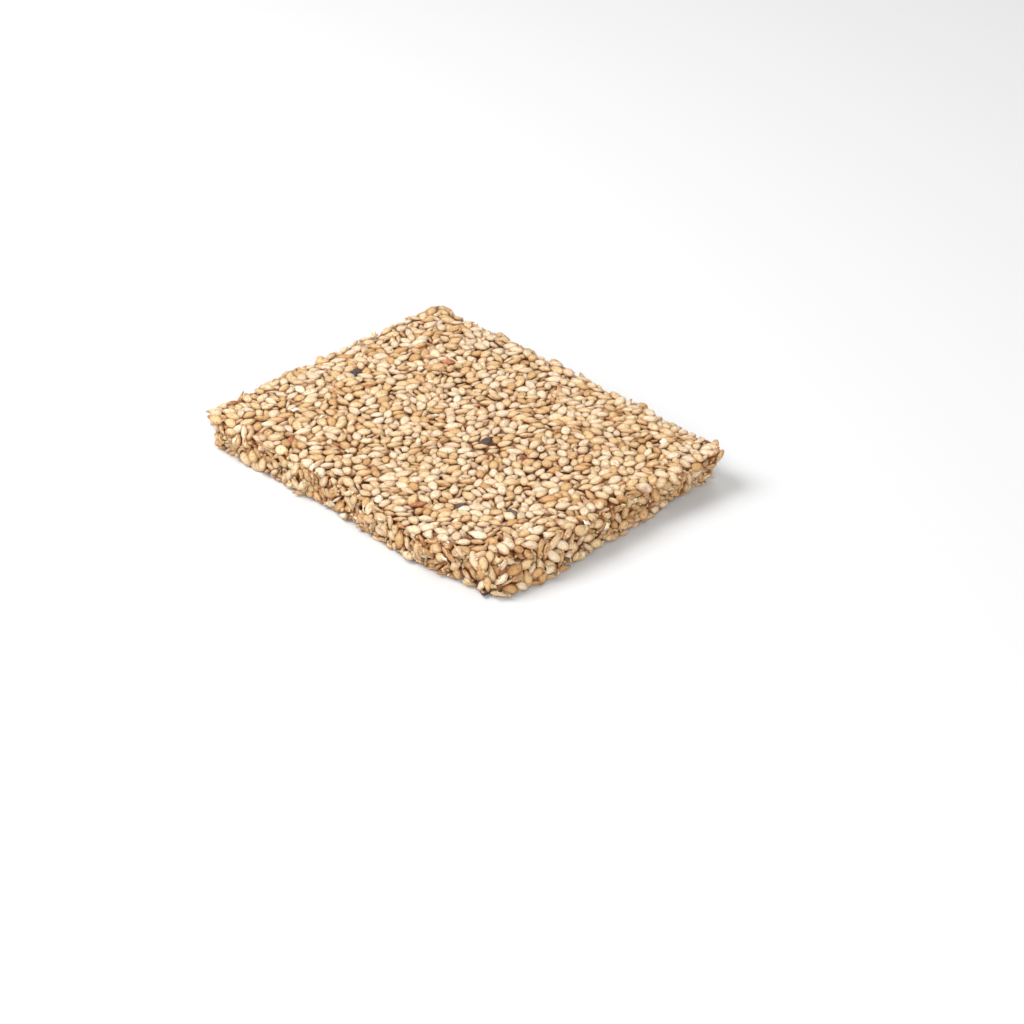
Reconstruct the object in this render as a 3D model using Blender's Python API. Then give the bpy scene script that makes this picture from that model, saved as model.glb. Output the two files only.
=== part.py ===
"""A hand-cut sesame cracker, lying flat, as one solid.

The cracker is a pressed slab of sesame seeds, so its top and walls are covered with grains.
Each grain is a raised lens with a teardrop outline, and the binder between the grains lies
lower. The surface is laid out flat first, with the walls unfolded round the top like a skirt,
and then folded over the slab's rim. Whole seeds that stand proud of the slab are fused on at
the end.

The model is in metres, +Z up, and stands on z = 0 with its bounding box centred on the
origin. +X is the cracker's long side and +Y its short side.
"""

import math
import random

import bmesh
import bpy
from mathutils import Matrix, Vector, geometry, noise

MM = 0.001

# The slab. Corners are where the straight cuts would meet, seen from above.
THICKNESS = 8.1 * MM
CORNERS = (
    Vector((40.7, -31.5)) * MM,
    Vector((43.5, 30.6)) * MM,
    Vector((-43.2, 33.2)) * MM,
    Vector((-39.2, -33.3)) * MM,
)
CORNER_RADIUS = 3.0 * MM
RIM_RADIUS = 1.8 * MM

# Where the cuts wander: a plan point, how far round it that reaches, and how far the foot and
# the rim are moved there. The foot sticks out at the first corner and is undercut at the
# second, and the walls on both sides of the first corner bulge.
WANDERINGS = (
    (CORNERS[0], 28 * MM, Vector((5.0, -0.7)) * MM, Vector((0.0, 0.0)) * MM),
    (CORNERS[1], 18 * MM, Vector((-4.5, -2.5)) * MM, Vector((0.0, 0.0)) * MM),
    (CORNERS[2], 15 * MM, Vector((-0.5, 0.6)) * MM, Vector((0.0, 0.0)) * MM),
    (CORNERS[3], 12 * MM, Vector((2.2, 1.4)) * MM, Vector((0.0, 0.0)) * MM),
    (Vector((22.0, -32.5)) * MM, 17 * MM, Vector((0.0, -1.8)) * MM, Vector((0.0, -2.4)) * MM),
    (Vector((41.5, -14.0)) * MM, 15 * MM, Vector((0.3, 0.0)) * MM, Vector((2.6, 0.0)) * MM),
)
LEAN_CURVE = 1.3

# Unevenness of the cut walls and of the pressed top.
WALL_WAVE = 0.9 * MM
TOP_WAVE = 0.25 * MM
WAVE_LENGTH = 11 * MM

# A sesame seed. Its outline has a pointed tip at the low end and is widest past the middle.
SEED_LENGTH = 3.4 * MM
SEED_WIDTH = 2.1 * MM
SEED_DEPTH = 1.1 * MM
OUTLINE = ((-0.50, 0.0), (-0.10, -0.42), (0.28, -0.48), (0.50, 0.0), (0.28, 0.48), (-0.10, 0.42))
CREST = (-0.20, 0.22)
RIM_LEVEL = 0.25

# The grains of the slab. The binder lies this far below the crests.
BINDER_DROP = 0.75 * MM
FOOT_DROP = 0.3 * MM
CREST_SPREAD = 0.25 * MM
GRAIN_GAP = 0.15 * MM
GRAIN_TRIES = 60000
FOOT_SPACING = 2.6 * MM
FOOT_MARGIN = 0.25 * MM
CORNER_STEPS = 4
SAME_PLACE = 0.002 * MM

# Whole seeds lying proud of the slab, with their middles this far below its surface.
PROUD_SPACING = 12 * MM
PROUD_SINK = 0.35 * MM
PROUD_TILT = math.radians(14)
PROUD_TRIES = 4000

SKIN_COLOUR = (0.60, 0.39, 0.19, 1.0)
SKIN_ROUGHNESS = 0.5

SEED_OF_DRAWS = 7


def inner_corners():
    """The centres of the four corner roundings, going round counter-clockwise."""
    centres = []
    for i, corner in enumerate(CORNERS):
        back = (CORNERS[i - 1] - corner).normalized()
        ahead = (CORNERS[(i + 1) % len(CORNERS)] - corner).normalized()
        half_angle = back.angle(ahead) / 2
        inward = (back + ahead).normalized()
        centres.append(corner + inward * CORNER_RADIUS / math.sin(half_angle))
    return centres


def nearest_on_core(point, core):
    """The point of the inner quadrilateral nearest to a plan point, which may be itself."""
    inside = True
    nearest = None
    for i, start in enumerate(core):
        side = core[(i + 1) % len(core)] - start
        offset = point - start
        if side.cross(offset) < 0:
            inside = False
        share = max(0.0, min(1.0, offset.dot(side) / side.length_squared))
        foot = start + side * share
        if nearest is None or (point - foot).length < (point - nearest).length:
            nearest = foot
    return point.copy() if inside else nearest


def skirt_reach():
    """How far the unfolded wall reaches beyond the inner quadrilateral."""
    rim_length = RIM_RADIUS * math.pi / 2
    return CORNER_RADIUS - RIM_RADIUS + rim_length + THICKNESS - RIM_RADIUS


def rim_profile(reach):
    """Height, outward distance and lean of a surface point this far out in the unfolded plan."""
    flat = CORNER_RADIUS - RIM_RADIUS
    turn = max(0.0, min(math.pi / 2, (reach - flat) / RIM_RADIUS))
    rim_length = RIM_RADIUS * math.pi / 2
    below_rim = max(0.0, reach - flat - rim_length)
    height = THICKNESS - RIM_RADIUS * (1 - math.cos(turn)) - below_rim
    distance = min(reach, flat) + RIM_RADIUS * math.sin(turn)
    return max(0.0, height), distance, turn


def wandering(plan, height):
    """How far the surface is moved sideways near a plan point, at this height."""
    share = (1 - height / THICKNESS) ** LEAN_CURVE
    total = Vector((0, 0))
    for middle, spread, foot, rim in WANDERINGS:
        near = math.exp(-(((plan - middle).length / spread) ** 2))
        total += (foot * share + rim * (1 - share)) * near
    return total


def fold(point, core):
    """The place on the slab of a point of the unfolded plan, and the way out of the slab there."""
    nearest = nearest_on_core(point, core)
    away = point - nearest
    side = away.normalized()
    height, distance, turn = rim_profile(away.length)
    wave = WALL_WAVE * noise.noise(Vector((*nearest, 0)) / WAVE_LENGTH) if away.length > 0 else 0
    swell = TOP_WAVE * noise.noise(Vector((*point, 0)) / WAVE_LENGTH) * height / THICKNESS
    plan = nearest + side * (distance + wave)
    plan += wandering(plan, height)
    place = Vector((*plan, height + swell))
    outward = Vector((*(side * math.sin(turn)), math.cos(turn)))
    return place, outward


def foot_loop(core):
    """The unfolded plan points of the wall's foot, going round counter-clockwise."""
    reach = skirt_reach()
    loop = []
    for i, centre in enumerate(core):
        before = (centre - core[i - 1]).normalized()
        side = core[(i + 1) % len(core)] - centre
        start_angle = math.atan2(-before.x, before.y)
        sweep = before.angle(side)
        for k in range(CORNER_STEPS):
            angle = start_angle + sweep * k / CORNER_STEPS
            loop.append(centre + Vector((math.cos(angle), math.sin(angle))) * reach)
        outward = Vector((side.y, -side.x)).normalized() * reach
        side_steps = round(side.length / FOOT_SPACING)
        for k in range(side_steps):
            loop.append(centre + side * k / side_steps + outward)
    return loop


class Spacing:
    """Places that are kept at least a given distance apart."""

    def __init__(self, distance):
        self.distance = distance
        self.cells = {}

    def cell_of(self, place):
        return tuple(math.floor(x / self.distance) for x in place)

    def is_free(self, place):
        x, y, z = self.cell_of(place)
        around = (
            other
            for i in (x - 1, x, x + 1)
            for j in (y - 1, y, y + 1)
            for k in (z - 1, z, z + 1)
            for other in self.cells.get((i, j, k), ())
        )
        return all((place - other).length >= self.distance for other in around)

    def take(self, place):
        self.cells.setdefault(self.cell_of(place), []).append(place)


def plan_limits(core):
    reach = skirt_reach()
    low = Vector((min(c.x for c in core) - reach, min(c.y for c in core) - reach))
    high = Vector((max(c.x for c in core) + reach, max(c.y for c in core) + reach))
    return low, high


def lay_grains(core, rng):
    """Middle and direction of every grain in the unfolded plan, with the grains kept apart."""
    low, high = plan_limits(core)
    lowest_reach = skirt_reach() - SEED_WIDTH / 2 - FOOT_MARGIN
    spacing = Spacing(SEED_WIDTH + GRAIN_GAP)
    grains = []
    for _ in range(GRAIN_TRIES):
        middle = Vector((rng.uniform(low.x, high.x), rng.uniform(low.y, high.y)))
        angle = rng.uniform(0, 2 * math.pi)
        along = Vector((math.cos(angle), math.sin(angle)))
        half = along * (SEED_LENGTH - SEED_WIDTH) / 2
        ends = (middle - half, middle + half)
        if any((end - nearest_on_core(end, core)).length > lowest_reach for end in ends):
            continue
        folded = [fold(end, core)[0] for end in ends]
        if all(spacing.is_free(place) for place in folded):
            grains.append((middle, along))
            for place in folded:
                spacing.take(place)
    return grains


def grain_slab(core, rng):
    """The slab as one closed mesh, with a raised lens for each grain on its top and walls."""
    plan = foot_loop(core)
    foot_count = len(plan)
    drops = [FOOT_DROP] * foot_count
    edges = [(i, (i + 1) % foot_count) for i in range(foot_count)]
    for middle, along in lay_grains(core, rng):
        across = Vector((-along.y, along.x))
        first = len(plan)
        crest = first + len(OUTLINE)
        plan += [middle + along * x * SEED_LENGTH + across * y * SEED_WIDTH for x, y in OUTLINE]
        plan += [middle + along * x * SEED_LENGTH for x in CREST]
        drops += [BINDER_DROP] * len(OUTLINE) + [CREST_SPREAD * rng.random()] * len(CREST)
        edges += [(first + k, first + (k + 1) % len(OUTLINE)) for k in range(len(OUTLINE))]
        edges.append((crest, crest + 1))

    laid, _, faces, sources, *_ = geometry.delaunay_2d_cdt(plan, edges, [], 1, SAME_PLACE)
    mesh = bmesh.new()
    verts = []
    foot = {}
    for point, source in zip(laid, sources):
        place, outward = fold(point, core)
        drop = drops[source[0]] if source else BINDER_DROP
        verts.append(mesh.verts.new(place - outward * drop))
        if source and source[0] < foot_count:
            foot[source[0]] = verts[-1]
    for face in faces:
        mesh.faces.new([verts[i] for i in face])
    underside = mesh.faces.new([foot[i] for i in reversed(range(foot_count))])
    bmesh.ops.poke(mesh, faces=[underside])
    bmesh.ops.triangulate(mesh, faces=mesh.faces[:])
    bmesh.ops.recalc_face_normals(mesh, faces=mesh.faces[:])
    return mesh


def whole_seed(placing):
    """A closed seed with few sides, lying along X with its tip at -X before it is placed."""
    mesh = bmesh.new()
    for side in (-1, 1):
        level = side * SEED_DEPTH / 2
        for x, y in OUTLINE:
            mesh.verts.new((x * SEED_LENGTH, y * SEED_WIDTH, level * RIM_LEVEL))
        for x in CREST:
            mesh.verts.new((x * SEED_LENGTH, 0, level))
    bmesh.ops.convex_hull(mesh, input=mesh.verts[:])
    bmesh.ops.transform(mesh, matrix=placing, verts=mesh.verts[:])
    bmesh.ops.recalc_face_normals(mesh, faces=mesh.faces[:])
    return mesh


def proud_placings(core, rng):
    """Where the whole seeds lie: spread evenly over the top and the walls."""
    low, high = plan_limits(core)
    lowest_reach = skirt_reach() - SEED_LENGTH / 2
    spacing = Spacing(PROUD_SPACING)
    placings = []
    for _ in range(PROUD_TRIES):
        middle = Vector((rng.uniform(low.x, high.x), rng.uniform(low.y, high.y)))
        turn = rng.uniform(0, 2 * math.pi)
        tilt = rng.uniform(-PROUD_TILT, PROUD_TILT)
        if (middle - nearest_on_core(middle, core)).length > lowest_reach:
            continue
        place, outward = fold(middle, core)
        if not spacing.is_free(place):
            continue
        spacing.take(place)
        upright = outward.to_track_quat("Z", "Y").to_matrix().to_4x4()
        lying = Matrix.Rotation(turn, 4, "Z") @ Matrix.Rotation(tilt, 4, "Y")
        placings.append(Matrix.Translation(place - outward * PROUD_SINK) @ upright @ lying)
    return placings


def fuse_seeds(slab, placings):
    """Join whole seeds to the slab by one union."""
    collection = bpy.data.collections.new("whole seeds")
    bpy.context.scene.collection.children.link(collection)
    for i, placing in enumerate(placings):
        object_from(whole_seed(placing), f"seed_{i}", collection)
    bpy.context.view_layer.objects.active = slab
    union = slab.modifiers.new("whole seeds", "BOOLEAN")
    union.operation = "UNION"
    union.solver = "EXACT"
    union.operand_type = "COLLECTION"
    union.collection = collection
    bpy.ops.object.modifier_apply(modifier=union.name)
    weld = slab.modifiers.new("weld", "WELD")
    weld.merge_threshold = SAME_PLACE
    bpy.ops.object.modifier_apply(modifier=weld.name)
    for seed in list(collection.objects):
        bpy.data.objects.remove(seed, do_unlink=True)
    bpy.data.collections.remove(collection)


def stand_centred(solid):
    """Move the mesh so that its bounding box stands centred on the origin."""
    places = [vert.co for vert in solid.data.vertices]
    low = Vector([min(place[axis] for place in places) for axis in range(3)])
    high = Vector([max(place[axis] for place in places) for axis in range(3)])
    middle = (low + high) / 2
    solid.data.transform(Matrix.Translation((-middle.x, -middle.y, -low.z)))


def skin_material():
    skin = bpy.data.materials.new("toasted sesame")
    skin.use_nodes = True
    shader = skin.node_tree.nodes["Principled BSDF"]
    shader.inputs["Base Color"].default_value = SKIN_COLOUR
    shader.inputs["Roughness"].default_value = SKIN_ROUGHNESS
    shader.inputs["Metallic"].default_value = 0.0
    return skin


def object_from(mesh, name, collection):
    data = bpy.data.meshes.new(name)
    mesh.to_mesh(data)
    mesh.free()
    found = bpy.data.objects.new(name, data)
    collection.objects.link(found)
    return found


def remove_old_objects():
    for old in list(bpy.data.objects):
        bpy.data.objects.remove(old, do_unlink=True)


def main():
    remove_old_objects()
    rng = random.Random(SEED_OF_DRAWS)
    core = inner_corners()
    cracker = object_from(grain_slab(core, rng), "cracker", bpy.context.scene.collection)
    fuse_seeds(cracker, proud_placings(core, rng))
    stand_centred(cracker)
    cracker.data.materials.append(skin_material())


main()
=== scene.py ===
"""A sesame cracker: toasted seeds packed and pressed into a thin slab, cut by hand.

The slab is a rounded quadrilateral whose walls lean out or in at its corners. Under its
surface the seeds are packed by a small simulation: each seed is six balls that push their
neighbours apart while the slab's surface holds them in. Seeds of a few shapes are modelled
once and copied to those places, one joined piece for each finish. Crumbs, husks and a brown
binder fill the gaps. Lengths are in millimetres until a mesh is made.
"""

import math

import bpy
import numpy as np
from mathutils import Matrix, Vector, kdtree, noise


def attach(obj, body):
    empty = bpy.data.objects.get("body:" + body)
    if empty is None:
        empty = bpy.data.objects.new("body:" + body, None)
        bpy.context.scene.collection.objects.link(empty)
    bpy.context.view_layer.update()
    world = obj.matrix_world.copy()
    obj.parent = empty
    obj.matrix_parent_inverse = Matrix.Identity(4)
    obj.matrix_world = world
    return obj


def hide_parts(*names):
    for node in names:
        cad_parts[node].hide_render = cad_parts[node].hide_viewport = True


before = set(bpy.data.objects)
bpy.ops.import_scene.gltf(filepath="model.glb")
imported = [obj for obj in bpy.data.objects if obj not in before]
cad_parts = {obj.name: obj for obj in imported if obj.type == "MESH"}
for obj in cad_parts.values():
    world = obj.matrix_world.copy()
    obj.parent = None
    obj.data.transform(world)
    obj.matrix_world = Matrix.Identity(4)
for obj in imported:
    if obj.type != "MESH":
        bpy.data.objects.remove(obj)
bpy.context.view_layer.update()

MM = 0.001

# The slab. Corners are where the straight cuts would meet, seen from above.
CORNERS = np.array(((39.85, -31.18), (42.65, 30.92), (-44.05, 33.52), (-40.05, -32.98)))
THICKNESS = 8.1
CORNER_RADIUS = 3.0
RIM_RADIUS = 1.8
FOOT_RADIUS = 0.8

# Where the cuts wander: a place seen from above, how far round it that reaches, and how far
# the foot and the rim are moved there. The foot sticks out at the first corner and is
# undercut at the second, and the walls on both sides of the first corner bulge.
WANDERINGS = (
    (CORNERS[0], 28.0, (5.0, -0.7), (0.0, 0.0)),
    (CORNERS[1], 18.0, (-4.5, -2.5), (0.0, 0.0)),
    (CORNERS[2], 15.0, (-0.5, 0.6), (0.0, 0.0)),
    (CORNERS[3], 12.0, (2.2, 1.4), (0.0, 0.0)),
    ((21.15, -32.18), 17.0, (0.0, -1.8), (0.0, -2.4)),
    ((40.65, -13.68), 15.0, (0.3, 0.0), (2.6, 0.0)),
)
LEAN_CURVE = 1.3

# Unevenness of the surface that holds the seeds in.
WALL_WAVE = 0.45
TOP_WAVE = 0.12
LONG_WAVE = 13.0
WALL_ROUGHNESS = 0.95
TOP_ROUGHNESS = 0.18
SHORT_WAVE = 4.2

# Six balls of this radius stand for a seed: one at each end and two pairs between them.
BALL = 0.5
BALLS = np.array((
    (-1.04, 0.0, 0.0), (-0.38, -0.36, 0.0), (-0.38, 0.36, 0.0),
    (0.42, -0.42, 0.0), (0.42, 0.42, 0.0), (1.02, 0.0, 0.0),
))
SEED_REACH = 1.55

# The packing: seeds of uneven size, in a shell under the surface. PROUDNESS is the mean and
# spread of how far they stand out of it, and WALL_PROUDNESS is what the walls add to that.
SEEDS = 5400
SEED_SIZES = 0.9, 1.24
SHELL_DEPTH = 2.5
PROUDNESS = 0.0, 0.06
WALL_PROUDNESS = -0.04, 0.15
PACKING_STEPS = 110
SETTLING_STEPS = 30
NEIGHBOUR_STEPS = 8
NEIGHBOUR_MARGIN = 0.35
PRESS = 0.03
RELAX = 1.3
TOP_TILT = 16.0
WALL_TILT = 34.0

# Nothing reaches lower than this over the floor: seeds at the foot are pressed flat there.
LOWEST = 0.02

# Random places are drawn in a box this much wider than the corners, so many for each seed,
# crumb or husk, and those at the right depths are used.
BOX_MARGIN = 4
SEED_TRIES = 6
SCATTER_TRIES = 40

# Where the way out is more upright than this, a place is on the top or the underside.
UPRIGHT = 0.7

# Crumbs and husks: how many, the largest share of them that goes on the walls, between which
# depths, how far they tilt and how their sizes vary.
CRUMBS = 3600
CRUMB_SHAPES = 5
CRUMB_WALL_SHARE = 0.65
CRUMB_DEPTHS = 0.5, 1.35
CRUMB_TILT = 50
CRUMB_SIZES = 0.5, 1.2
HUSKS = 150
HUSK_WALL_SHARE = 0.8
HUSK_DEPTHS = 0.25, 0.6
HUSK_TILT = 22
HUSK_SIZES = 0.6, 1.15

# The binder: how deep it lies, how unevenly and over what waves, how much of the slab's short
# ripple it follows, the cuts across each side of its box, and the steps that draw it in.
BINDER_DEPTH = 1.65
BINDER_WOBBLE = 0.3
BINDER_WAVE = 1.6
BINDER_RIPPLE = 0.8
BINDER_CUTS = 59
BINDER_STEPS = 6


def core_corners():
    """Centres of the four corner roundings, going round counter-clockwise."""
    centres = []
    for before, corner, after in zip(np.roll(CORNERS, 1, 0), CORNERS, np.roll(CORNERS, -1, 0)):
        back = (before - corner) / np.linalg.norm(before - corner)
        ahead = (after - corner) / np.linalg.norm(after - corner)
        inward = (back + ahead) / np.linalg.norm(back + ahead)
        half_angle = math.acos(back @ ahead) / 2
        centres.append(corner + inward * CORNER_RADIUS / math.sin(half_angle))
    return np.array(centres)


CORE = core_corners()


def wandering(places):
    """How far the surface is moved sideways at each place."""
    share = np.clip(1 - places[:, 2] / THICKNESS, 0, 1)[:, None] ** LEAN_CURVE
    total = np.zeros((len(places), 2))
    for middle, spread, foot, rim in WANDERINGS:
        near = np.exp(-((places[:, :2] - middle) ** 2).sum(1) / spread**2)
        total += near[:, None] * (np.array(foot) * share + np.array(rim) * (1 - share))
    return total


def from_core(plan):
    """Signed distance from plan points to the inner quadrilateral, and the way out of it."""
    closest = np.full(len(plan), np.inf)
    level = np.full(len(plan), -np.inf)
    nearest = np.zeros_like(plan)
    facing = np.zeros_like(plan)
    for start, end in zip(CORE, np.roll(CORE, -1, 0)):
        side = end - start
        outward = np.array((side[1], -side[0])) / np.linalg.norm(side)
        share = np.clip((plan - start) @ side / (side @ side), 0, 1)
        foot = start + share[:, None] * side
        distance = np.linalg.norm(plan - foot, axis=1)
        closer = distance < closest
        closest = np.where(closer, distance, closest)
        nearest[closer] = foot[closer]
        beyond = (plan - start) @ outward
        higher = beyond > level
        level = np.where(higher, beyond, level)
        facing[higher] = outward
    inside = level < 0
    away = (plan - nearest) / np.maximum(closest, 1e-6)[:, None]
    return np.where(inside, level, closest), np.where(inside[:, None], facing, away)


def ripple(places, wave_length, phase):
    """A smooth uneven value from about -1 to 1 at each place."""
    turns = places * (2 * math.pi / wave_length)
    x, y, z = turns.T
    first = np.sin(x * 0.83 + y * 0.47 + z * 0.61 + phase)
    second = np.sin(-x * 0.52 + y * 0.91 - z * 0.73 + 2.1 * phase)
    third = np.sin(x * 0.31 - y * 0.38 + z * 1.17 + 3.7 * phase)
    return first * second * 0.6 + third * first * 0.4 + second * third * 0.4


def slab_field(places, rough=1.0):
    """Signed distance to the slab's surface, negative inside, and the way out, at each place."""
    height = places[:, 2]
    reach, way = from_core(places[:, :2] - wandering(places))
    long_ripple = ripple(places, LONG_WAVE, 1.0)
    short_ripple = rough * ripple(places, SHORT_WAVE, 4.0)
    wall_swell = WALL_WAVE * long_ripple + WALL_ROUGHNESS * short_ripple
    top_swell = TOP_WAVE * long_ripple + TOP_ROUGHNESS * short_ripple
    upper = height > THICKNESS / 2
    radius = np.where(upper, RIM_RADIUS, FOOT_RADIUS)
    top_swell = np.where(upper, top_swell, -np.abs(top_swell))
    out = reach - (CORNER_RADIUS + wall_swell - radius)
    up = np.abs(height - THICKNESS / 2) - (THICKNESS / 2 + top_swell - radius)
    round_out, round_up = np.maximum(out, 0), np.maximum(up, 0)
    rounding = np.hypot(round_out, round_up)
    distance = rounding + np.minimum(np.maximum(out, up), 0) - radius
    on_rim = rounding > 1e-6
    slant_out = np.where(on_rim, round_out / np.maximum(rounding, 1e-6), out > up)
    slant_up = np.where(on_rim, round_up / np.maximum(rounding, 1e-6), out <= up)
    gradient = np.column_stack((way * slant_out[:, None], slant_up * np.where(upper, 1, -1)))
    return distance, gradient


def turned(axes, turns):
    """Rotation matrices turned a little further by rotation vectors, and made square again."""
    along, across = axes[:, :, 0], axes[:, :, 1]
    along = along + np.cross(turns, along)
    across = across + np.cross(turns, across)
    along /= np.linalg.norm(along, axis=1)[:, None]
    across -= (across * along).sum(1)[:, None] * along
    across /= np.linalg.norm(across, axis=1)[:, None]
    return np.stack((along, across, np.cross(along, across)), axis=2)


def lying_axes(normals, tilts, rng):
    """Axes of seeds that lie on surfaces with these normals, turned at random and tilted."""
    thin = normals + rng.normal(size=normals.shape) * np.tan(tilts)[:, None]
    thin /= np.linalg.norm(thin, axis=1)[:, None]
    along = rng.normal(size=normals.shape)
    along -= (along * thin).sum(1)[:, None] * thin
    along /= np.linalg.norm(along, axis=1)[:, None]
    return np.stack((along, np.cross(thin, along), thin), axis=2)


def neighbours(centres):
    """Index pairs of the seeds that are near enough to touch."""
    tree = kdtree.KDTree(len(centres))
    for i, centre in enumerate(centres):
        tree.insert(centre, i)
    tree.balance()
    near = 2 * SEED_REACH + NEIGHBOUR_MARGIN
    pairs = [
        (i, j)
        for i, centre in enumerate(centres)
        for _, j, _ in tree.find_range(centre, near)
        if j > i
    ]
    return np.array(pairs).T


def summed(places, owners, count):
    """Vectors added up over their owners."""
    return np.column_stack([np.bincount(owners, places[:, k], count) for k in range(3)])


def pushes(balls, sizes, pairs):
    """How the balls of touching seeds push each other: a move and a count of contacts per ball."""
    count, per_seed = balls.shape[:2]
    first, second = pairs
    gap = balls[first][:, :, None] - balls[second][:, None]
    distance = np.sqrt((gap**2).sum(3))
    room = BALL * (sizes[first] + sizes[second])[:, None, None]
    hit, a, b = np.nonzero(distance < room)
    apart = distance[hit, a, b]
    push = gap[hit, a, b] * ((room[hit, 0, 0] - apart) / (2 * np.maximum(apart, 1e-4)))[:, None]
    owner_a = first[hit] * per_seed + a
    owner_b = second[hit] * per_seed + b
    total = count * per_seed
    moves = summed(push, owner_a, total) - summed(push, owner_b, total)
    hits = np.bincount(owner_a, minlength=total) + np.bincount(owner_b, minlength=total)
    return moves.reshape(count, per_seed, 3), hits.reshape(count, per_seed)


def hold_in(balls, sizes, proud):
    """How the slab's surface pushes back balls that reach past it, and the core those too deep."""
    count, per_seed = balls.shape[:2]
    distance, gradient = slab_field(balls.reshape(-1, 3))
    beyond = distance + np.repeat(BALL * sizes - proud, per_seed)
    too_deep = -SHELL_DEPTH - distance
    push = -np.maximum(beyond, 0) + np.maximum(too_deep, 0)
    hits = (push != 0).astype(int)
    return (gradient * push[:, None]).reshape(count, per_seed, 3), hits.reshape(count, per_seed)


def random_places(count, rng):
    """Random places in a box round the slab."""
    low, high = CORNERS.min(0) - BOX_MARGIN, CORNERS.max(0) + BOX_MARGIN
    return rng.uniform((*low, 0), (*high, THICKNESS), (count, 3))


def pack_seeds(rng):
    """Centres, axes and sizes of the seeds, packed under the slab's surface."""
    tries = random_places(SEEDS * SEED_TRIES, rng)
    depth = -slab_field(tries)[0]
    centres = tries[(depth > BALL) & (depth < SHELL_DEPTH)][:SEEDS]
    outward = slab_field(centres)[1]
    flat = np.abs(outward[:, 2])
    tilts = np.radians(TOP_TILT * flat + WALL_TILT * (1 - flat))
    axes = lying_axes(outward, tilts, rng)
    sizes = rng.uniform(*SEED_SIZES, len(centres))
    proud = rng.normal(*PROUDNESS, len(centres))
    proud += (1 - flat) * rng.normal(*WALL_PROUDNESS, len(centres))
    layout = BALLS[None] * sizes[:, None, None]
    for step in range(PACKING_STEPS):
        if step % NEIGHBOUR_STEPS == 0:
            pairs = neighbours(centres)
        balls = centres[:, None] + np.einsum("nij,nkj->nki", axes, layout)
        moves, hits = pushes(balls, sizes, pairs)
        held, held_hits = hold_in(balls, sizes, proud)
        moves += held
        hits += held_hits
        arms = balls - centres[:, None]
        shift = moves.sum(1) / np.maximum(hits.sum(1), 1)[:, None]
        leverage = ((arms**2).sum(2) * hits).sum(1)
        turns = np.cross(arms, moves).sum(1) / np.maximum(leverage, 1.0)[:, None]
        if step < PACKING_STEPS - SETTLING_STEPS:
            shift += PRESS * slab_field(centres)[1]
        centres = centres + RELAX * shift
        axes = turned(axes, RELAX * turns)
    return centres, axes, sizes


def deselect_all():
    """Leave edit mode with nothing selected."""
    if bpy.context.object and bpy.context.object.mode != "OBJECT":
        bpy.ops.object.mode_set(mode="OBJECT")
    bpy.ops.object.select_all(action="DESELECT")


def grab(piece, wanted):
    """Go to edit mode with only the points that pass the test selected."""
    bpy.ops.object.mode_set(mode="EDIT")
    bpy.ops.mesh.select_mode(type="VERT")
    bpy.ops.mesh.select_all(action="DESELECT")
    bpy.ops.object.mode_set(mode="OBJECT")
    for point in piece.data.vertices:
        point.select = wanted(point.co)
    bpy.ops.object.mode_set(mode="EDIT")


# Points of a seed's ring that are this near its middle line are the ridge of a face.
FACE_RIDGE = 0.9

# Length of the unit sphere that seeds are modelled from, about, once its tip is drawn out.
SPHERE_LENGTH = 2.1


def seed_shape(length, width, depth, point=0.8, dent=0.0, bow=0.0):
    """A seed along X with its narrow tip at -X, modelled from a sphere. Sizes in millimetres."""
    deselect_all()
    bpy.ops.mesh.primitive_uv_sphere_add(segments=10, ring_count=6, radius=1.0)
    seed = bpy.context.object
    bpy.ops.object.mode_set(mode="EDIT")
    bpy.ops.mesh.select_all(action="SELECT")
    bpy.ops.transform.rotate(value=math.pi / 2, orient_axis="Y", center_override=(0, 0, 0))
    grab(seed, lambda place: place.x < -0.3)
    bpy.ops.transform.resize(value=(1, point, point), center_override=(0, 0, 0))
    grab(seed, lambda place: place.x < -0.95)
    bpy.ops.transform.translate(value=(-0.16, 0, 0))
    grab(seed, lambda place: abs(place.z) > FACE_RIDGE * math.hypot(place.y, place.z))
    bpy.ops.transform.resize(value=(1, 1, 0.84), center_override=(0, 0, 0))
    grab(seed, lambda place: abs(place.x) < 0.7 and place.z > 0.6)
    bpy.ops.transform.translate(value=(0, 0, -dent))
    grab(seed, lambda place: abs(place.x) > 0.6)
    bpy.ops.transform.translate(value=(0, 0, bow))
    bpy.ops.mesh.select_all(action="SELECT")
    bpy.ops.transform.resize(
        value=(length / SPHERE_LENGTH, width / 2, depth / 2), center_override=(0, 0, 0)
    )
    bpy.ops.mesh.normals_make_consistent(inside=False)
    bpy.ops.object.mode_set(mode="OBJECT")
    return seed


def cut_seed(share):
    """A seed cut across, closed with a flat face. share is the part of its length that is kept."""
    length = 3.1
    seed = seed_shape(length, 1.85, 1.10)
    bpy.ops.object.mode_set(mode="EDIT")
    bpy.ops.mesh.select_all(action="SELECT")
    place = length * (share - 0.5)
    bpy.ops.mesh.bisect(
        plane_co=(place, 0, 0), plane_no=(0.94, 0.2, 0.27), use_fill=True, clear_outer=True
    )
    bpy.ops.mesh.select_all(action="SELECT")
    bpy.ops.mesh.normals_make_consistent(inside=False)
    bpy.ops.object.mode_set(mode="OBJECT")
    return seed


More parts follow.
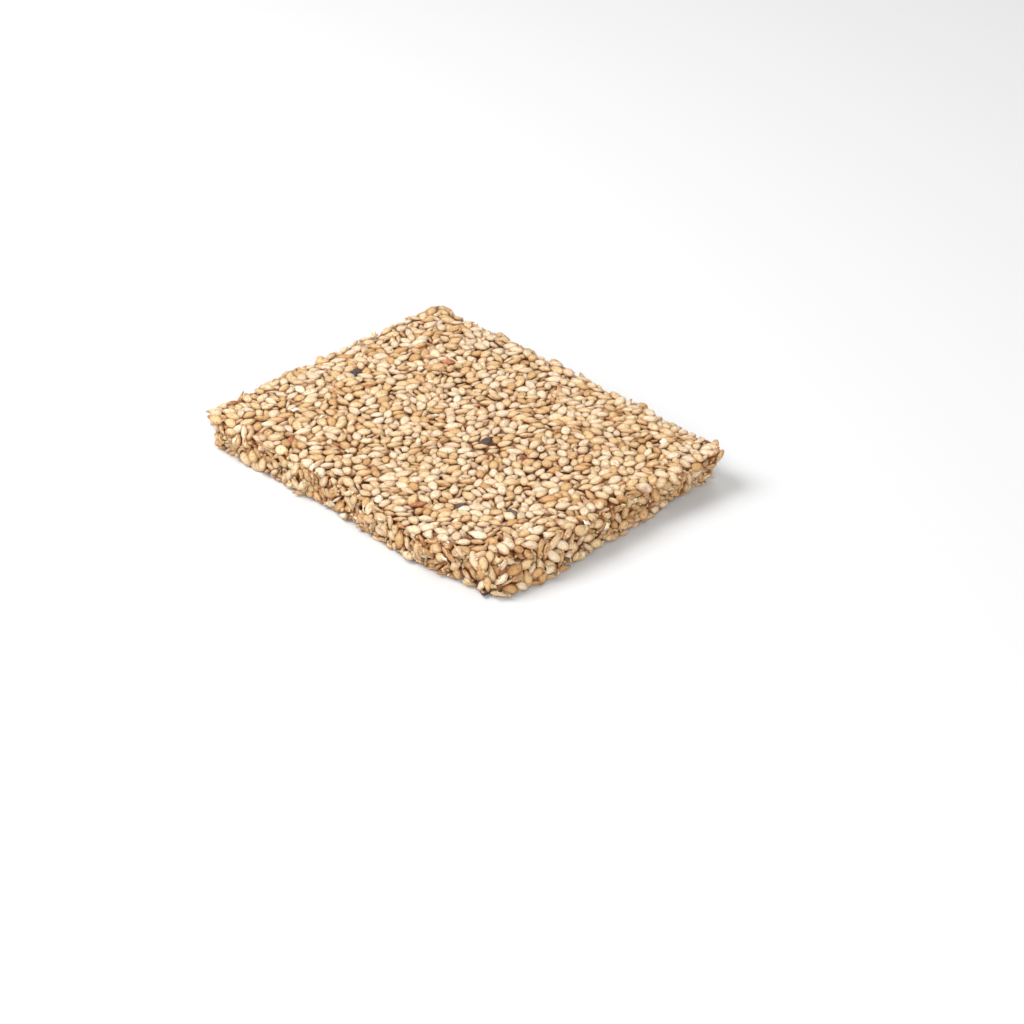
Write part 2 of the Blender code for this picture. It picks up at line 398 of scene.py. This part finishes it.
def husk_shape():
    """A thin curved scrap of seed skin."""
    deselect_all()
    bpy.ops.mesh.primitive_grid_add(x_subdivisions=4, y_subdivisions=3, size=2.0)
    husk = bpy.context.object
    for point in husk.data.vertices:
        x, y, _ = point.co
        point.co.z = 0.28 * (1 - x * x) - 0.2 * y * y
    bpy.ops.object.mode_set(mode="EDIT")
    bpy.ops.mesh.select_all(action="SELECT")
    bpy.ops.transform.resize(value=(0.85, 0.6, 0.9), center_override=(0, 0, 0))
    bpy.ops.transform.vertex_random(offset=0.16, uniform=0.5, normal=0.2, seed=3)
    bpy.ops.object.mode_set(mode="OBJECT")
    thick = husk.modifiers.new("skin", "SOLIDIFY")
    thick.thickness = 0.06
    bpy.ops.object.modifier_apply(modifier=thick.name)
    return husk


def crumb_shape(number):
    """A small angular crumb."""
    deselect_all()
    bpy.ops.mesh.primitive_ico_sphere_add(subdivisions=1, radius=0.42)
    crumb = bpy.context.object
    bpy.ops.object.mode_set(mode="EDIT")
    bpy.ops.mesh.select_all(action="SELECT")
    bpy.ops.transform.vertex_random(offset=0.16, uniform=0.6, normal=0.0, seed=number)
    bpy.ops.transform.resize(value=(1.25, 0.9, 0.7), center_override=(0, 0, 0))
    bpy.ops.object.mode_set(mode="OBJECT")
    return crumb


def taken(shape):
    """The points and faces of a modelled shape, which is then removed."""
    points = np.array([point.co for point in shape.data.vertices])
    faces = [tuple(face.vertices) for face in shape.data.polygons]
    bpy.data.objects.remove(shape, do_unlink=True)
    return points, faces


# Half a seed's length, width and depth: a seed's own coordinates run from about -1 to 1.
HALF_SEED = np.array((1.55, 0.93, 0.55))


def joined_piece(name, shapes, picks, axes, centres, sizes, rng):
    """One mesh of many copies. picks says which shape each copy has.

    Each point keeps its copy's tone, its depth under the slab's surface in millimetres, and its
    place along, across and through its own seed.
    """
    points, faces, tones, grains, depths = [], [], [], [], []
    start = 0
    for pick, turn, centre, size, tone in zip(picks, axes, centres, sizes, rng.random(len(picks))):
        shape_points, shape_faces = shapes[pick]
        placed = (shape_points * size) @ turn.T + centre
        placed[:, 2] = np.maximum(placed[:, 2], LOWEST)
        points.append(placed * MM)
        depths.append(-slab_field(placed)[0])
        faces += [tuple(start + i for i in face) for face in shape_faces]
        start += len(shape_points)
        tones.append(np.full(len(shape_points), tone))
        grains.append(shape_points / HALF_SEED)
    mesh = bpy.data.meshes.new(name)
    mesh.from_pydata(np.concatenate(points).tolist(), [], faces)
    for mark, values in (("tone", tones), ("depth", depths)):
        attribute = mesh.attributes.new(mark, "FLOAT", "POINT")
        attribute.data.foreach_set("value", np.concatenate(values))
    own = mesh.attributes.new("grain", "FLOAT_VECTOR", "POINT")
    own.data.foreach_set("vector", np.concatenate(grains).ravel())
    mesh.validate()
    mesh.shade_smooth()
    piece = bpy.data.objects.new(name, mesh)
    bpy.context.scene.collection.objects.link(piece)
    return piece


def new_node(tree, kind, **inputs):
    """A node with these values on its sockets."""
    node = tree.nodes.new(kind)
    for socket, value in inputs.items():
        node.inputs[socket.replace("_", " ")].default_value = value
    return node


def ramp_node(tree, stops):
    """A colour ramp with these (place, colour) stops."""
    node = tree.nodes.new("ShaderNodeValToRGB")
    ramp = node.color_ramp
    while len(ramp.elements) < len(stops):
        ramp.elements.new(0.5)
    for element, (place, colour) in zip(ramp.elements, stops):
        element.position = place
        element.color = (*colour, 1)
    return node


def mark_node(tree, mark, output="Fac"):
    """What joined_piece kept on each point under this name."""
    node = tree.nodes.new("ShaderNodeAttribute")
    node.attribute_name = mark
    return node.outputs[output]


def vector_node(tree, operation, first, second=None, output="Vector"):
    """Vector arithmetic. The second operand is a socket or three numbers."""
    node = tree.nodes.new("ShaderNodeVectorMath")
    node.operation = operation
    tree.links.new(first, node.inputs[0])
    if isinstance(second, bpy.types.NodeSocket):
        tree.links.new(second, node.inputs[1])
    elif second:
        node.inputs[1].default_value = second
    return node.outputs[output]


def sum_node(tree, first, second, share):
    """The first value plus a share of the second."""
    node = tree.nodes.new("ShaderNodeMath")
    node.operation = "MULTIPLY_ADD"
    tree.links.new(second, node.inputs[0])
    node.inputs[1].default_value = share
    tree.links.new(first, node.inputs[2])
    return node.outputs["Value"]


def along_seed(tree):
    """The place along a seed, from its narrow tip at -1 to its round end at 1."""
    parts = tree.nodes.new("ShaderNodeSeparateXYZ")
    tree.links.new(mark_node(tree, "grain", "Vector"), parts.inputs["Vector"])
    return parts.outputs["X"]


def from_middle(tree):
    """How far a point is from the middle of its seed's face, with 1 at the seed's outline."""
    flat = vector_node(tree, "MULTIPLY", mark_node(tree, "grain", "Vector"), (1, 1, 0))
    return vector_node(tree, "LENGTH", flat, output="Value")


def wrinkles(tree, stretch):
    """Noise drawn out along each seed, and different on each."""
    drawn = vector_node(tree, "MULTIPLY", mark_node(tree, "grain", "Vector"), stretch)
    shift = vector_node(tree, "SCALE", mark_node(tree, "tone", "Vector"))
    shift.node.inputs["Scale"].default_value = 60.0
    place = vector_node(tree, "ADD", drawn, shift)
    node = new_node(tree, "ShaderNodeTexNoise", Scale=1.0, Detail=2.5, Roughness=0.55)
    tree.links.new(place, node.inputs["Vector"])
    return node.outputs["Fac"]


def noise_node(tree, scale, detail=2.0, roughness=0.5):
    """Noise on the piece's own Object coordinates. scale is in waves to the metre."""
    place = tree.nodes.new("ShaderNodeTexCoord")
    node = new_node(tree, "ShaderNodeTexNoise", Scale=scale, Detail=detail, Roughness=roughness)
    tree.links.new(place.outputs["Object"], node.inputs["Vector"])
    return node.outputs["Fac"]


# Numbers of a mix node's sockets for its share, its two colours and its result.
MIX_SHARE, MIX_FIRST, MIX_SECOND = 0, 6, 7
MIX_RESULT = 2


def mixed(tree, share, first, second):
    """A colour mix. share is a socket, and each of first and second a socket or a colour."""
    node = tree.nodes.new("ShaderNodeMix")
    node.data_type = "RGBA"
    for number, value in ((MIX_SHARE, share), (MIX_FIRST, first), (MIX_SECOND, second)):
        if isinstance(value, bpy.types.NodeSocket):
            tree.links.new(value, node.inputs[number])
        else:
            node.inputs[number].default_value = (*value, 1)
    return node.outputs[MIX_RESULT]


def stretched(tree, value, low, high, to_low, to_high):
    """A value between low and high, brought to between to_low and to_high."""
    node = new_node(tree, "ShaderNodeMapRange")
    node.inputs["From Min"].default_value = low
    node.inputs["From Max"].default_value = high
    node.inputs["To Min"].default_value = to_low
    node.inputs["To Max"].default_value = to_high
    tree.links.new(value, node.inputs["Value"])
    return node.outputs["Result"]


def bumped(tree, shader, height, distance, strength=1.0):
    """Give a shader fine relief from a height, where 1 stands for distance in metres."""
    node = new_node(tree, "ShaderNodeBump", Strength=strength, Distance=distance)
    tree.links.new(height, node.inputs["Height"])
    tree.links.new(node.outputs["Normal"], shader.inputs["Normal"])


def new_skin(name):
    """A new material, its nodes and its shader."""
    skin = bpy.data.materials.new(name)
    skin.use_nodes = True
    return skin, skin.node_tree, skin.node_tree.nodes["Principled BSDF"]


# How dark a seed is from the middle of its face outwards: a fine line inside a pale border, and a
# dark outline that is partly the seed's browner edge and partly painted contact shade between the
# seeds.
OUTLINE_SHADE_STOPS = (
    (0.0, 0.12), (0.4, 0.0), (0.6, 0.08), (0.66, 0.25),
    (0.74, 0.5), (0.82, 0.12), (0.90, 0.42), (1.0, 1.0),
)

# Deeper under the slab's surface the colour turns to dark syrup brown, more and more between these
# depths, in millimetres, up to this share. This is partly syrup coating the seeds in the gaps and
# partly painted shade there.
SYRUP_SHADE_COLOUR = 0.30, 0.09, 0.02
SYRUP_SHADE_FROM, SYRUP_SHADE_TO = 0.4, 1.4
SYRUP_SHADE_SHARE = 0.75


def syruped_and_shaded(tree, colour):
    """A colour that turns to dark syrup brown deeper in the gaps: partly syrup, partly painted
    shade.
    """
    sunk_shade = stretched(tree, mark_node(tree, "depth"), SYRUP_SHADE_FROM, SYRUP_SHADE_TO, 0.0, SYRUP_SHADE_SHARE)
    return mixed(tree, sunk_shade, colour, SYRUP_SHADE_COLOUR)


def seed_skin(name, deep, middle, bright, tip):
    """Toasted seed skin: a tone for each seed, blotches, a dark tip, a dark outline that is partly
    painted contact shade, syrup brown and painted shade deeper in the gaps, and wrinkles.
    """
    skin, tree, shader = new_skin(name)
    tones = ramp_node(tree, ((0.0, deep), (0.45, middle), (1.0, bright)))
    tree.links.new(mark_node(tree, "tone"), tones.inputs["Fac"])
    blotch = stretched(tree, noise_node(tree, 1000, 3), 0.48, 0.60, 0, 0.7)
    colour = mixed(tree, blotch, tones.outputs["Color"], deep)
    streak = stretched(tree, wrinkles(tree, (1.2, 5, 5)), 0.42, 0.7, 0, 0.6)
    colour = mixed(tree, streak, colour, deep)
    speck = stretched(tree, noise_node(tree, 1700, 2), 0.58, 0.67, 0, 0.55)
    colour = mixed(tree, speck, colour, tip)
    # A dark outline round each seed: partly its browner edge, partly painted contact shade.
    outline_shade = ramp_node(tree, [(place, (dark,) * 3) for place, dark in OUTLINE_SHADE_STOPS])
    tree.links.new(from_middle(tree), outline_shade.inputs["Fac"])
    colour = mixed(tree, outline_shade.outputs["Color"], colour, tip)
    at_tip = stretched(tree, along_seed(tree), -0.5, -1.0, 0.0, 0.75)
    # Syrup brown and painted shade deeper in the gaps.
    colour = syruped_and_shaded(tree, mixed(tree, at_tip, colour, tip))
    tree.links.new(colour, shader.inputs["Base Color"])
    gloss = stretched(tree, noise_node(tree, 1500, 2), 0.3, 0.7, 0.26, 0.46)
    tree.links.new(gloss, shader.inputs["Roughness"])
    relief = sum_node(tree, wrinkles(tree, (1.8, 8, 8)), outline_shade.outputs["Color"], -0.5)
    bumped(tree, shader, relief, 0.28 * MM)
    shader.inputs["Specular IOR Level"].default_value = 0.5
    shader.inputs["Coat Weight"].default_value = 0.08
    shader.inputs["Coat Roughness"].default_value = 0.22
    shader.inputs["Subsurface Weight"].default_value = 0.4
    shader.inputs["Subsurface Radius"].default_value = (1.0, 0.5, 0.25)
    shader.inputs["Subsurface Scale"].default_value = 0.7 * MM
    return skin


def husk_skin():
    """Thin pale skin scraps that let some light through."""
    skin, tree, shader = new_skin("pale husk")
    tones = ramp_node(tree, ((0.0, (0.55, 0.36, 0.18)), (1.0, (0.86, 0.72, 0.52))))
    tree.links.new(mark_node(tree, "tone"), tones.inputs["Fac"])
    # Syrup brown and painted shade on the husks deeper in the gaps.
    tree.links.new(syruped_and_shaded(tree, tones.outputs["Color"]), shader.inputs["Base Color"])
    gloss = stretched(tree, noise_node(tree, 2000), 0.3, 0.7, 0.22, 0.45)
    tree.links.new(gloss, shader.inputs["Roughness"])
    bumped(tree, shader, noise_node(tree, 3000, 3), 0.05 * MM, 0.5)
    shader.inputs["Subsurface Weight"].default_value = 0.5
    shader.inputs["Subsurface Radius"].default_value = (1.0, 0.8, 0.6)
    shader.inputs["Subsurface Scale"].default_value = 0.6 * MM
    return skin


def binder_skin():
    """Baked syrup between the seeds: dark reddish brown, with a dull gloss."""
    skin, tree, shader = new_skin("baked binder")
    tones = ramp_node(tree, ((0.35, (0.12, 0.036, 0.01)), (0.7, (0.32, 0.12, 0.035))))
    tree.links.new(noise_node(tree, 500, 4), tones.inputs["Fac"])
    tree.links.new(tones.outputs["Color"], shader.inputs["Base Color"])
    gloss = stretched(tree, noise_node(tree, 900), 0.3, 0.7, 0.25, 0.5)
    tree.links.new(gloss, shader.inputs["Roughness"])
    bumped(tree, shader, noise_node(tree, 1400, 4), 0.3 * MM)
    return skin


def binder_core():
    """The binder: a box cut into small faces, drawn in to some way below the slab's surface."""
    deselect_all()
    size = CORNERS.max(0) - CORNERS.min(0)
    bpy.ops.mesh.primitive_cube_add(size=1.0, location=(0, 0, THICKNESS / 2))
    core = bpy.context.object
    bpy.ops.object.mode_set(mode="EDIT")
    bpy.ops.mesh.select_all(action="SELECT")
    bpy.ops.transform.resize(
        value=(*(size - 3), THICKNESS - 2), center_override=(0, 0, THICKNESS / 2)
    )
    bpy.ops.mesh.subdivide(number_cuts=BINDER_CUTS)
    bpy.ops.object.mode_set(mode="OBJECT")
    bpy.ops.object.transform_apply(location=True, rotation=True, scale=True)
    places = np.array([point.co for point in core.data.vertices])
    unevenness = np.array([noise.noise(Vector(place) / BINDER_WAVE) for place in places])
    level = -BINDER_DEPTH + BINDER_WOBBLE * unevenness
    for _ in range(BINDER_STEPS):
        distance, gradient = slab_field(places, rough=BINDER_RIPPLE)
        places = places - gradient * (distance - level)[:, None]
    core.data.vertices.foreach_set("co", (places * MM).ravel())
    core.data.update()
    core.name = "binder"
    core.data.shade_smooth()
    return core


# Each finish: its share of the seeds on the flat faces and on the walls, and its deep, middle,
# bright and tip colours. The walls get more honey and toasted seeds and the flat faces more pale
# ones. This is partly the browner seeds that show where the slab was cut, and partly painted
# light: warm bounced light and shade on the walls, and sheen on the flat faces.
FINISHES = {
    "golden_seeds": (
        0.30, 0.30, (0.62, 0.44, 0.23), (0.71, 0.55, 0.34), (0.76, 0.61, 0.41), (0.36, 0.15, 0.04)
    ),
    "honey_seeds": (
        0.20, 0.33, (0.58, 0.37, 0.16), (0.69, 0.49, 0.26), (0.76, 0.58, 0.36), (0.32, 0.12, 0.03)
    ),
    "pale_seeds": (
        0.37, 0.15, (0.66, 0.50, 0.33), (0.74, 0.60, 0.42), (0.77, 0.64, 0.47), (0.42, 0.21, 0.08)
    ),
    "toasted_seeds": (
        0.10, 0.20, (0.52, 0.30, 0.11), (0.63, 0.41, 0.19), (0.71, 0.50, 0.27), (0.28, 0.09, 0.02)
    ),
    "chalky_seeds": (
        0.01, 0.012, (0.66, 0.53, 0.37), (0.75, 0.64, 0.48), (0.81, 0.71, 0.57), (0.48, 0.30, 0.15)
    ),
    "red_seeds": (
        0.003, 0.0, (0.32, 0.09, 0.03), (0.48, 0.17, 0.06), (0.60, 0.26, 0.10), (0.18, 0.05, 0.015)
    ),
    "dark_seeds": (
        0.005, 0.0, (0.05, 0.025, 0.02), (0.08, 0.045, 0.04), (0.14, 0.09, 0.07),
        (0.03, 0.015, 0.012)
    ),
}

# The share of the seeds that are cut, on the flat faces and on the walls.
CUT_SHARES = 0.02, 0.12


def dress(piece, skin):
    """Give a piece its material, and put it in the place of the plain cracker."""
    piece.data.materials.clear()
    piece.data.materials.append(skin)
    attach(piece, "root")
    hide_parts("cracker")


def make_seeds(rng):
    """Pack the seeds and join them, one piece for each finish."""
    centres, axes, sizes = pack_seeds(rng)
    whole = [
        taken(seed_shape(3.10, 1.85, 1.10, dent=0.06)),
        taken(seed_shape(3.35, 1.72, 0.98, point=0.7, dent=0.16)),
        taken(seed_shape(2.95, 1.95, 1.05, point=0.82, bow=0.1)),
        taken(seed_shape(3.15, 1.80, 1.15, point=0.74, bow=-0.1)),
        taken(seed_shape(2.80, 1.75, 0.95, point=0.78, dent=0.3)),
    ]
    cut = [taken(cut_seed(0.62)), taken(cut_seed(0.5)), taken(cut_seed(0.75))]
    shapes = whole + cut
    on_wall = (np.abs(slab_field(centres)[1][:, 2]) < UPRIGHT).astype(int)
    is_cut = rng.random(len(centres)) < np.array(CUT_SHARES)[on_wall]
    picks = rng.integers(0, len(whole), len(centres))
    picks = np.where(is_cut, rng.integers(len(whole), len(shapes), len(centres)), picks)
    stretch = sizes[:, None] * rng.uniform(0.93, 1.07, (len(centres), 3))
    # Finishes are shared out differently on the faces and the walls: partly painted sheen on the
    # faces and painted warm shade on the walls.
    shares = np.array([finish[:2] for finish in FINISHES.values()])
    limits = np.cumsum(shares / shares.sum(0), 0)
    finish_of = (rng.random(len(centres)) > limits[:, on_wall]).sum(0)
    for number, (name, (_, _, *colours)) in enumerate(FINISHES.items()):
        mine = finish_of == number
        piece = joined_piece(
            name, shapes, picks[mine], axes[mine], centres[mine], stretch[mine], rng
        )
        dress(piece, seed_skin(name.replace("_", " "), *colours))


def scattered(count, depths, wall_share, rng):
    """Random places between two depths, and the way out there.

    At most wall_share of them are on the walls.
    """
    shallowest, deepest = depths
    tries = random_places(count * SCATTER_TRIES, rng)
    distance, outward = slab_field(tries)
    flat = np.abs(outward[:, 2]) > UPRIGHT
    near = (-distance < deepest) & (-distance > shallowest)
    on_wall = tries[near & ~flat][: int(count * wall_share)]
    on_face = tries[near & flat][: count - len(on_wall)]
    places = np.concatenate((on_wall, on_face))
    return places, slab_field(places)[1]


def make_crumbs(rng):
    """Crumbs in the gaps, many of them on the cut walls."""
    shapes = [taken(crumb_shape(number)) for number in range(CRUMB_SHAPES)]
    places, outward = scattered(CRUMBS, CRUMB_DEPTHS, CRUMB_WALL_SHARE, rng)
    axes = lying_axes(outward, np.full(len(places), math.radians(CRUMB_TILT)), rng)
    sizes = rng.uniform(*CRUMB_SIZES, (len(places), 3))
    picks = rng.integers(0, len(shapes), len(places))
    crumbs = joined_piece("crumbs", shapes, picks, axes, places, sizes, rng)
    dress(crumbs, seed_skin("crumb", *FINISHES["honey_seeds"][2:]))


def make_husks(rng):
    """Scraps of seed skin, many of them on the cut walls."""
    shapes = [taken(husk_shape())]
    places, outward = scattered(HUSKS, HUSK_DEPTHS, HUSK_WALL_SHARE, rng)
    axes = lying_axes(outward, np.full(len(places), math.radians(HUSK_TILT)), rng)
    sizes = rng.uniform(*HUSK_SIZES, (len(places), 3))
    picks = np.zeros(len(places), int)
    husks = joined_piece("husks", shapes, picks, axes, places, sizes, rng)
    dress(husks, husk_skin())


# The camera looks down on the slab, with its nearest corner towards the viewer. Its distance is
# in metres, its lens and sensor in millimetres.
AZIMUTH = math.radians(46.53)
ELEVATION = math.radians(29.69)
DISTANCE = 0.6641
AIM = Vector((10.21, 3.23, -8.50)) * MM
LENS = 120.0
SENSOR = 36.0

FLOOR_GREY = 0.58
SKY_STRENGTH = 0.44

# Each light's azimuth and elevation in degrees, its distance and size in metres, and its power.
LIGHTS = {
    "key": (-48, 50, 0.6, 0.42, 5.0),
    "fill": (54, 26, 1.2, 0.9, 15.6),
    "back": (215, 50, 1.5, 0.8, 4.0),
}


def add_camera():
    back = Vector((
        math.sin(AZIMUTH) * math.cos(ELEVATION),
        -math.cos(AZIMUTH) * math.cos(ELEVATION),
        math.sin(ELEVATION),
    ))
    deselect_all()
    bpy.ops.object.camera_add(
        location=AIM + back * DISTANCE, rotation=(math.pi / 2 - ELEVATION, 0, AZIMUTH)
    )
    camera = bpy.context.object
    camera.data.lens = LENS
    camera.data.sensor_width = SENSOR
    camera.data.clip_start = 0.01
    bpy.context.scene.camera = camera


def add_floor():
    deselect_all()
    bpy.ops.mesh.primitive_plane_add(size=6.0)
    floor = bpy.context.object
    floor.name = "floor"
    skin, _, shader = new_skin("pale floor")
    shader.inputs["Base Color"].default_value = (FLOOR_GREY, FLOOR_GREY, FLOOR_GREY, 1)
    shader.inputs["Roughness"].default_value = 0.6
    floor.data.materials.append(skin)


def add_area(name, azimuth, elevation, distance, size, power):
    """A soft square light that faces the slab."""
    turn, rise = math.radians(azimuth), math.radians(elevation)
    back = Vector((
        math.sin(turn) * math.cos(rise),
        -math.cos(turn) * math.cos(rise),
        math.sin(rise),
    ))
    deselect_all()
    bpy.ops.object.light_add(
        type="AREA", location=back * distance, rotation=(math.pi / 2 - rise, 0, turn)
    )
    light = bpy.context.object
    light.name = name
    light.data.size = size
    light.data.energy = power


def add_light():
    """An even white sky and the lights."""
    world = bpy.data.worlds.new("studio")
    bpy.context.scene.world = world
    world.use_nodes = True
    sky = world.node_tree.nodes["Background"]
    sky.inputs["Color"].default_value = (1, 1, 1, 1)
    sky.inputs["Strength"].default_value = SKY_STRENGTH
    for name, values in LIGHTS.items():
        add_area(name, *values)
    bpy.context.scene.view_settings.view_transform = "Standard"


rng = np.random.default_rng(11)
add_camera()
add_floor()
add_light()
dress(binder_core(), binder_skin())
make_seeds(rng)
make_crumbs(rng)
make_husks(rng)
